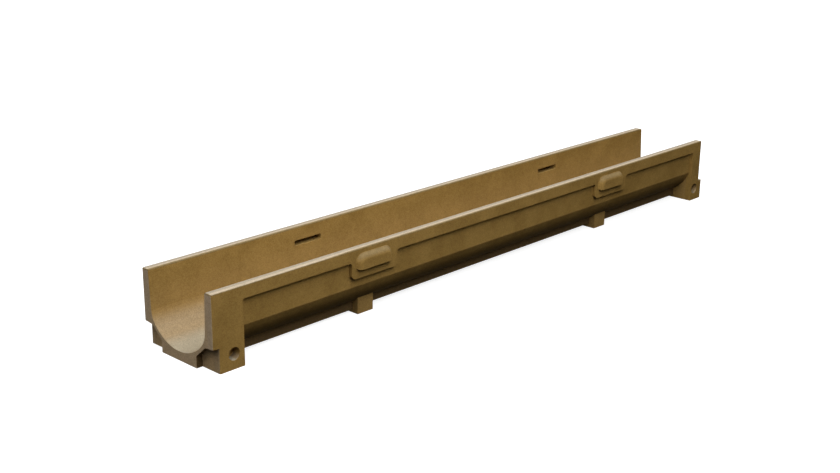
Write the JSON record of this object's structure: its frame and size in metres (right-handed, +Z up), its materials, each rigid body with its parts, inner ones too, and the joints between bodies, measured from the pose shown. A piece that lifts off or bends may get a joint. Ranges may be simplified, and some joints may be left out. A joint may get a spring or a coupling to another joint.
{
  "type": "channel drain",
  "caption": "U-shaped drainage trough cast in resin-bound sand, with recessed side panels, feet, overlapping ends and slots that lock a grating.",
  "frame": {"origin": "on the ground plane, halfway along and across the casting", "axes": "+X along the trough from the rebated end to the end with toes, +Y across it, +Z up"},
  "size_m": [1.008, 0.141, 0.097],
  "materials": {
    "cast_sand": "matte, fine-grained resin-bound sand"
  },
  "bodies": {
    "root": {"channel_body": "cast_sand"}
  },
  "joints": []
}
